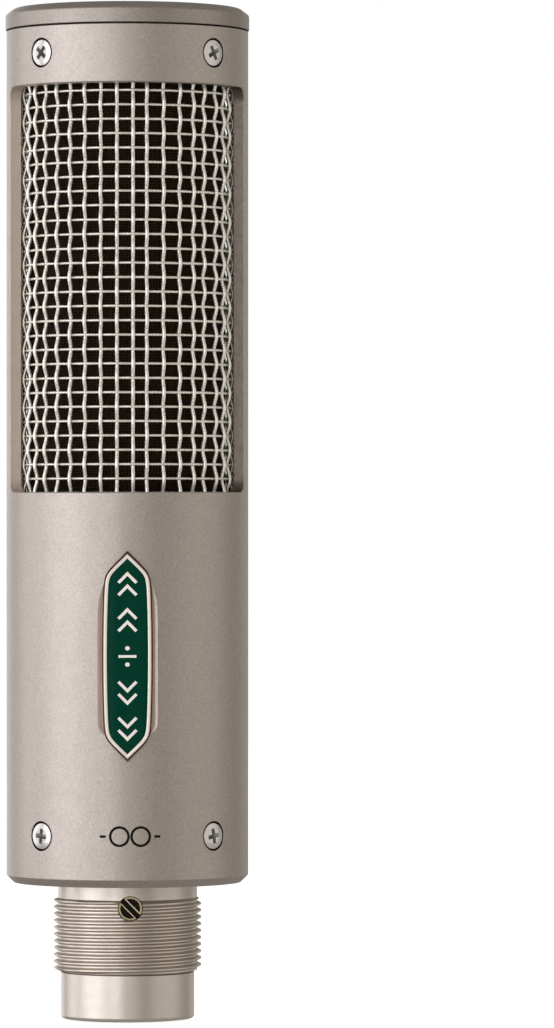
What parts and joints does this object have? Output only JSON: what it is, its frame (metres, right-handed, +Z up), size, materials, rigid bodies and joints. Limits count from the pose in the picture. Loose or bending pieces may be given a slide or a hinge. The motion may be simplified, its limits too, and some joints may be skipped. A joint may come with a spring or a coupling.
{
  "type": "ribbon microphone",
  "caption": "Slim cylindrical ribbon microphone with woven wire windows front and rear, a round cap, a badge and a threaded plug-in stem.",
  "frame": {"origin": "centre of the connector shell's open mouth, at its lowest face", "axes": "+Z up the body from the connector to the cap, -Y out of the front, where the badge is, +X to the right as seen from the front"},
  "size_m": [0.0384, 0.0398, 0.1585],
  "materials": {
    "satin_nickel": "bead-blasted satin nickel plate, fine matt grain",
    "bright_nickel": "polished warm nickel plate",
    "screen_wire": "nickel-plated wire, lightly polished",
    "dark_mesh": "blackened fine wire cloth",
    "screw_steel": "polished nickel-plated steel",
    "enamel": "deep green glassy enamel",
    "brass": "turned brass, lightly tarnished",
    "contact": "gold-flashed contact",
    "connector_plastic": "black moulded nylon",
    "aluminium": "machined and lightly etched",
    "magnet": "nickel-coated rare-earth magnet",
    "iron": "ground soft iron",
    "foil": "corrugated bare foil",
    "rubber": "soft black rubber",
    "copper": "enamelled copper winding",
    "can_metal": "annealed grey nickel-iron alloy",
    "board": "brown paper-phenolic board",
    "wire": "thin red insulation"
  },
  "bodies": {
    "casing": {"body_tube": "satin_nickel", "top_cap": "satin_nickel", "base_stem": "satin_nickel", "cap_screw_1": "screw_steel", "cap_screw_2": "screw_steel", "cap_screw_3": "screw_steel", "cap_screw_4": "screw_steel", "base_screw_1": "screw_steel", "base_screw_2": "screw_steel", "base_screw_3": "screw_steel", "base_screw_4": "screw_steel", "outer_screen": "screen_wire", "middle_screen": "dark_mesh", "inner_screen": "dark_mesh", "badge_backplate": "bright_nickel", "badge_plate": "bright_nickel", "badge_enamel": "enamel", "xlr_insert": "connector_plastic", "xlr_pin_1": "contact", "xlr_pin_2": "contact", "xlr_pin_3": "contact", "output_wire_1": "wire", "output_wire_2": "wire", "output_wire_3": "wire", "deck_plate": "aluminium", "post_1": "brass", "post_2": "brass", "post_3": "brass", "deck_screw_1": "screw_steel", "deck_screw_2": "screw_steel", "deck_screw_3": "screw_steel", "transformer_can": "can_metal", "transformer_lid": "can_metal", "transformer_pad": "rubber", "transformer_core": "iron", "transformer_coil": "copper", "lower_isolator": "rubber", "upper_isolator": "rubber", "lower_lead": "wire", "upper_lead": "wire"},
    "motor": {"motor_base_block": "aluminium", "motor_top_block": "aluminium", "magnet_left": "magnet", "magnet_right": "magnet", "yoke_left": "iron", "yoke_right": "iron", "pole_left": "iron", "pole_right": "iron", "lower_clamp_block": "board", "upper_clamp_block": "board", "lower_clamp_bar": "brass", "upper_clamp_bar": "brass", "clamp_screw_1": "screw_steel", "clamp_screw_2": "screw_steel", "clamp_screw_3": "screw_steel", "clamp_screw_4": "screw_steel"},
    "ribbon": {"ribbon": "foil"},
    "lock_screw": {"lock_screw": "brass"}
  },
  "joints": [
    {"name": "motor_float", "type": "slide", "parent": "casing", "child": "motor", "axis": [0, 0, 1], "range_m": [-0.0008, 0.0008], "stiffness_N_per_m": 2500, "springref_m": 0.0003, "deforming": ["lower_isolator", "upper_isolator", "lower_lead", "upper_lead"]},
    {"name": "ribbon_flex", "type": "slide", "parent": "motor", "child": "ribbon", "axis": [0, 1, 0], "range_m": [-0.00025, 0.00025], "stiffness_N_per_m": 5},
    {"name": "lock_screw_turn", "type": "hinge", "parent": "casing", "child": "lock_screw", "pos_m": [0.00044, -0.01049, 0.01775], "axis": [0.0419, -0.9991, 0], "range_deg": [0, 630]}
  ]
}
